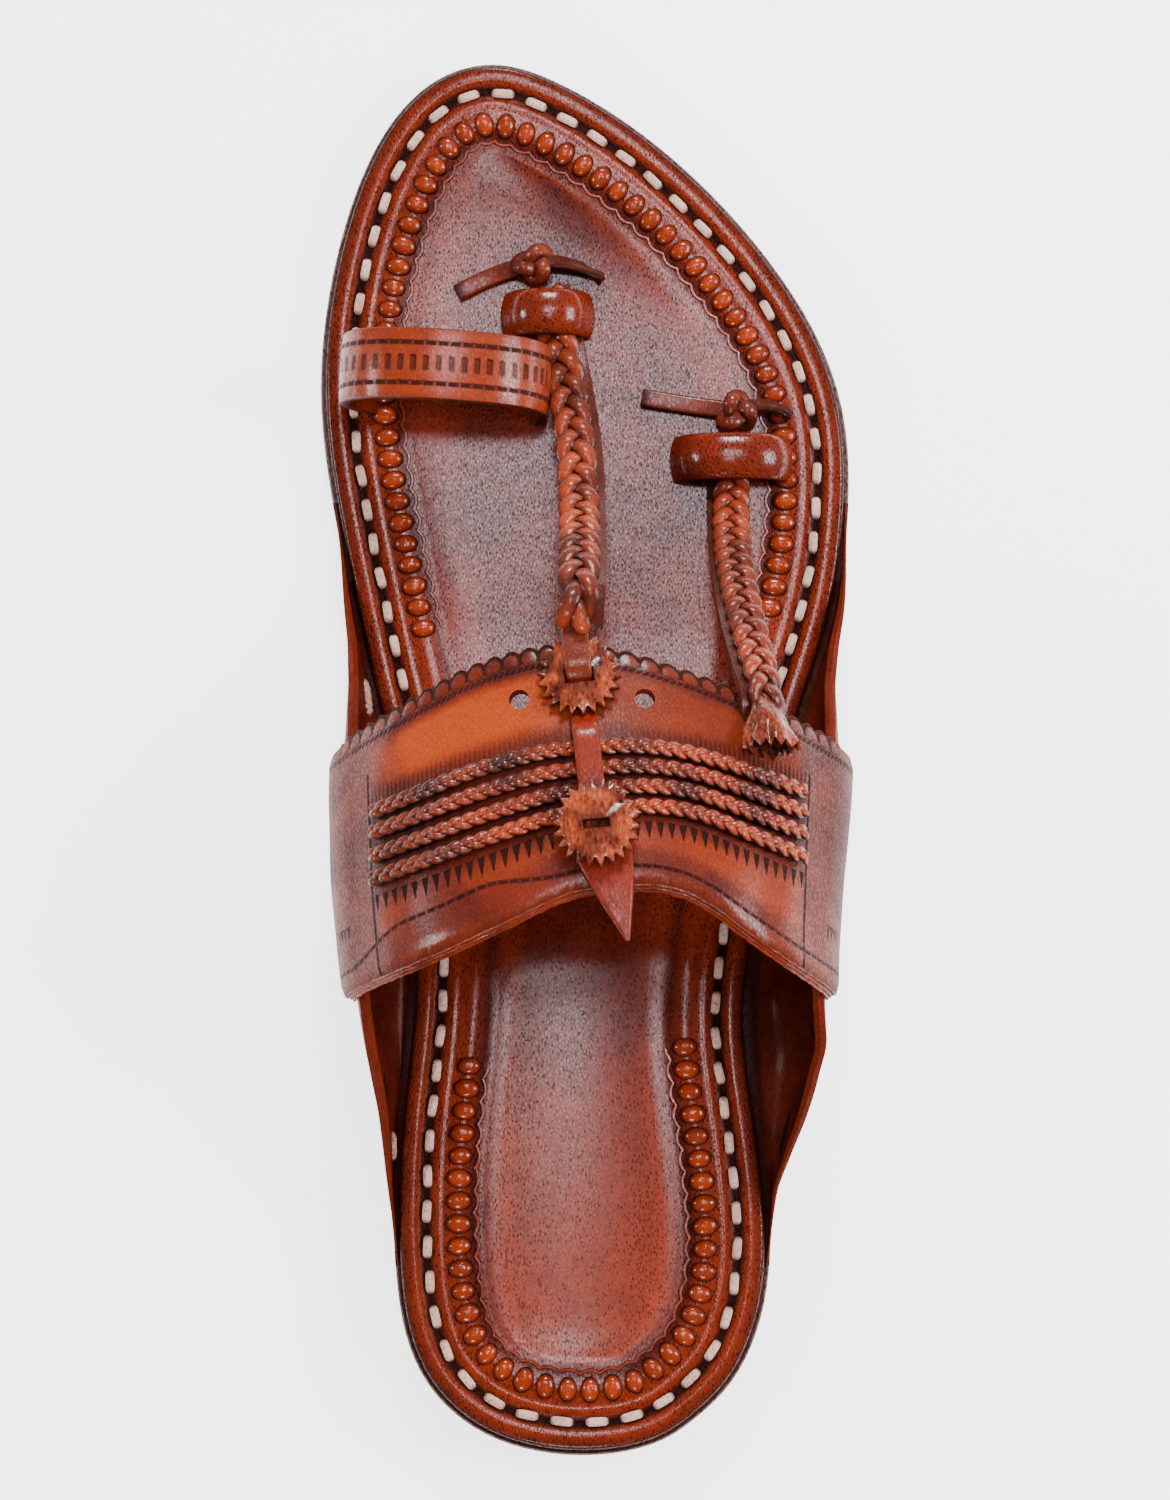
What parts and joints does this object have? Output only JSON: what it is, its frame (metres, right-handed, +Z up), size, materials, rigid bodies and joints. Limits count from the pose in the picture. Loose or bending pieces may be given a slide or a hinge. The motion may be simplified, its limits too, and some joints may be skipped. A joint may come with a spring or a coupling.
{
  "type": "kolhapuri sandal",
  "caption": "Right hand-made leather sandal with a heel lift, side ears, a wide instep band with braided cords, a toe ring and braided straps.",
  "frame": {"origin": "middle of the heel lift's resting face on the floor", "axes": "+Z up, +Y from heel to toe, +X to the outer side of the foot"},
  "size_m": [0.1093, 0.285, 0.0782],
  "materials": {
    "outsole": "smooth tan",
    "heel_lift": "smooth tan",
    "insole": "glossy antiqued",
    "ear_medial": "waxed",
    "ear_lateral": "waxed",
    "upper": "antiqued",
    "cord_1": "matte",
    "cord_2": "matte",
    "cord_3": "matte",
    "cord_4": "matte",
    "rosette_front": "matte",
    "rosette_rear": "matte",
    "center_strip": "matte",
    "anchor_loop_center": "matte",
    "anchor_loop_side": "matte",
    "knot_center": "matte",
    "knot_side": "matte",
    "tassel_side": "matte"
  },
  "bodies": {
    "root": {"outsole": "outsole", "heel_lift": "heel_lift", "insole": "insole", "ear_medial": "ear_medial", "ear_lateral": "ear_lateral", "upper": "upper", "cord_1": "cord_1", "cord_2": "cord_2", "cord_3": "cord_3", "cord_4": "cord_4", "rosette_front": "rosette_front", "rosette_rear": "rosette_rear", "center_strip": "center_strip", "anchor_loop_center": "anchor_loop_center", "anchor_loop_side": "anchor_loop_side", "knot_center": "knot_center", "knot_side": "knot_side", "tassel_side": "tassel_side"}
  },
  "joints": []
}
